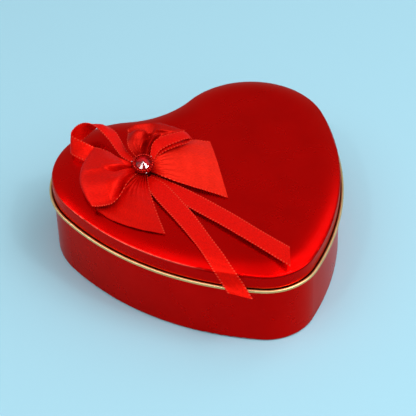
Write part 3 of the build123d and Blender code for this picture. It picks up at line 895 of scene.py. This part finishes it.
# Cup of the stone: a shallow dish of dark red enamelled metal, glued to the sloping knot.
# The enamel is a little uneven and pitted.
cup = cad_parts["gem_setting"]
enamel, nodes, links, shader = new_material("cup_enamel")
shader.inputs["Metallic"].default_value = 0.6
shader.inputs["Specular Tint"].default_value = (0.6, 0.10, 0.08, 1)
shader.inputs["Coat Weight"].default_value = 0.03
shader.inputs["Coat Roughness"].default_value = 0.08
place = nodes.new("ShaderNodeTexCoord")
grit = nodes.new("ShaderNodeTexNoise")
grit.inputs["Scale"].default_value = 900
grit.inputs["Detail"].default_value = 4
links.new(place.outputs["Object"], grit.inputs["Vector"])
glaze = nodes.new("ShaderNodeValToRGB")
glaze.color_ramp.elements[0].position = 0.35
glaze.color_ramp.elements[0].color = (0.14, 0.0006, 0.001, 1)
glaze.color_ramp.elements[1].position = 0.7
glaze.color_ramp.elements[1].color = (0.55, 0.003, 0.003, 1)
links.new(grit.outputs["Fac"], glaze.inputs["Fac"])
links.new(glaze.outputs["Color"], shader.inputs["Base Color"])
wear = nodes.new("ShaderNodeMapRange")
wear.inputs["To Min"].default_value = 0.2
wear.inputs["To Max"].default_value = 0.45
links.new(grit.outputs["Fac"], wear.inputs["Value"])
links.new(wear.outputs["Result"], shader.inputs["Roughness"])
pits = nodes.new("ShaderNodeBump")
pits.inputs["Strength"].default_value = 0.15
pits.inputs["Distance"].default_value = 0.0001
links.new(grit.outputs["Fac"], pits.inputs["Height"])
links.new(pits.outputs["Normal"], shader.inputs["Normal"])
finish_on(cup, enamel)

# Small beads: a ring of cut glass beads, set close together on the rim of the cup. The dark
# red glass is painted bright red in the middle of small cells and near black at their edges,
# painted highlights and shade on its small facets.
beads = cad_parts["gem_beads"]
bead_glass, nodes, links, shader = new_material("bead_glass")
shader.inputs["Metallic"].default_value = 0.7
shader.inputs["Specular Tint"].default_value = (0.7, 0.20, 0.14, 1)
shader.inputs["Coat Weight"].default_value = 0.06
shader.inputs["Coat Roughness"].default_value = 0.03
place = nodes.new("ShaderNodeTexCoord")
cuts = nodes.new("ShaderNodeTexVoronoi")
cuts.inputs["Scale"].default_value = 1600
links.new(place.outputs["Object"], cuts.inputs["Vector"])
# Painted highlights and shade of the facets: light in each cell's middle, near black at its edges.
painted_facet_light = nodes.new("ShaderNodeValToRGB")
painted_facet_light.color_ramp.elements[0].color = (0.92, 0.018, 0.010, 1)
painted_facet_light.color_ramp.elements[1].color = (0.14, 0.0008, 0.0010, 1)
links.new(cuts.outputs["Distance"], painted_facet_light.inputs["Fac"])
links.new(painted_facet_light.outputs["Color"], shader.inputs["Base Color"])
sparkle = nodes.new("ShaderNodeMapRange")
sparkle.inputs["To Min"].default_value = 0.08
sparkle.inputs["To Max"].default_value = 0.3
links.new(cuts.outputs["Distance"], sparkle.inputs["Value"])
links.new(sparkle.outputs["Result"], shader.inputs["Roughness"])
finish_on(beads, bead_glass)

# Rivets: three bright silver pins that hold the ring of beads to the cup. They are plated
# metal, a little scuffed.
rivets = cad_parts["gem_rivets"]
silver, nodes, links, shader = new_material("rivet_silver")
shader.inputs["Metallic"].default_value = 1.0
place = nodes.new("ShaderNodeTexCoord")
scuff = nodes.new("ShaderNodeTexNoise")
scuff.inputs["Scale"].default_value = 1500
links.new(place.outputs["Object"], scuff.inputs["Vector"])
plate = nodes.new("ShaderNodeValToRGB")
plate.color_ramp.elements[0].color = (0.34, 0.34, 0.36, 1)
plate.color_ramp.elements[1].color = (0.56, 0.56, 0.58, 1)
links.new(scuff.outputs["Fac"], plate.inputs["Fac"])
links.new(plate.outputs["Color"], shader.inputs["Base Color"])
shine = nodes.new("ShaderNodeMapRange")
shine.inputs["To Min"].default_value = 0.12
shine.inputs["To Max"].default_value = 0.3
links.new(scuff.outputs["Fac"], shine.inputs["Value"])
links.new(shine.outputs["Result"], shader.inputs["Roughness"])
finish_on(rivets, silver)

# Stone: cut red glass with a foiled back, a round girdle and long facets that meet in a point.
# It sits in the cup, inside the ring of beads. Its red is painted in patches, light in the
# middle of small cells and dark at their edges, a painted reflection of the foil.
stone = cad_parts["gem_stone"]
ruby, nodes, links, shader = new_material("ruby_glass")
shader.inputs["IOR"].default_value = 1.6
shader.inputs["Specular IOR Level"].default_value = 0.1
shader.inputs["Coat Weight"].default_value = 0.05
shader.inputs["Coat Roughness"].default_value = 0.02
shader.inputs["Roughness"].default_value = 0.08
place = nodes.new("ShaderNodeTexCoord")
foil = nodes.new("ShaderNodeTexVoronoi")
foil.inputs["Scale"].default_value = 420
links.new(place.outputs["Object"], foil.inputs["Vector"])
# Painted reflection of the foil: light red in the middle of each cell, dark at its edges.
painted_foil_reflection = nodes.new("ShaderNodeValToRGB")
painted_foil_reflection.color_ramp.elements[0].color = (0.66, 0.004, 0.008, 1)
painted_foil_reflection.color_ramp.elements[1].color = (0.05, 0.0006, 0.003, 1)
links.new(foil.outputs["Distance"], painted_foil_reflection.inputs["Fac"])
links.new(painted_foil_reflection.outputs["Color"], shader.inputs["Base Color"])
finish_on(stone, ruby)

# Table: a plain, pale blue, dull surface just under the foot of the tin. It is part of the
# stage and not of the tin.
bpy.ops.object.select_all(action="DESELECT")
bpy.ops.mesh.primitive_plane_add(size=6, location=(0, 0, -0.0002))
table = bpy.context.object
table.name = "table"
bpy.ops.object.transform_apply(location=True, rotation=True, scale=True)
TABLE_BLUE = (0.326, 0.592, 0.708, 1)
pale, nodes, links, shader = new_material("pale_table")
shader.inputs["Base Color"].default_value = TABLE_BLUE
shader.inputs["Roughness"].default_value = 0.7
finish_on(table, pale)

# Light: a broad box in front, a key box on the front right, and fainter ones overhead, on the
# left and low on the right. A strip and a long box at the back shine on the lid's border, the
# long one as a reflection only. Two small lamps glint in the stone, all in a pale room.
AIM = Vector((0, 0, 0.03))


def soft_light(name, location, width, height, energy, lights_dull=True):
    bpy.ops.object.light_add(type="AREA", location=location)
    lamp = bpy.context.object
    lamp.name = name
    lamp.data.shape = "RECTANGLE"
    lamp.data.size = width
    lamp.data.size_y = height
    lamp.data.energy = energy
    lamp.visible_diffuse = lights_dull
    lamp.rotation_euler = (AIM - lamp.location).to_track_quat("-Z", "Y").to_euler()


soft_light("front_box", (0.255, -0.951, 1.261), 2.0, 1.4, 9.0)
soft_light("key_box", (0.482, -0.575, 1.299), 0.7, 0.7, 7.0)
soft_light("overhead_box", (0, -0.05, 1.5), 1.2, 1.2, 1.4)
soft_light("left_high_box", (-0.739, -0.130, 1.299), 0.9, 0.9, 4.1)
soft_light("left_crown_box", (-0.315, 0.285, 1.44), 0.45, 0.45, 0.3)
soft_light("right_low_box", (1.041, -0.874, 0.634), 0.6, 0.6, 2.2)
soft_light("right_strip", (0.982, 0.209, 1.115), 0.45, 1.2, 1.9)
soft_light("left_back_box", (-0.965, 0.557, 1.004), 1.2, 0.6, 5.6, lights_dull=False)
soft_light("right_lamp", (0.366, -0.658, 1.216), 0.06, 0.06, 1.3)
soft_light("left_lamp", (-0.713, -0.387, 1.215), 0.06, 0.06, 1.0)
room = bpy.data.worlds.new("pale_room")
bpy.context.scene.world = room
room.use_nodes = True
backdrop = room.node_tree.nodes["Background"]
backdrop.inputs["Color"].default_value = (1, 1, 1, 1)
backdrop.inputs["Strength"].default_value = 0.43
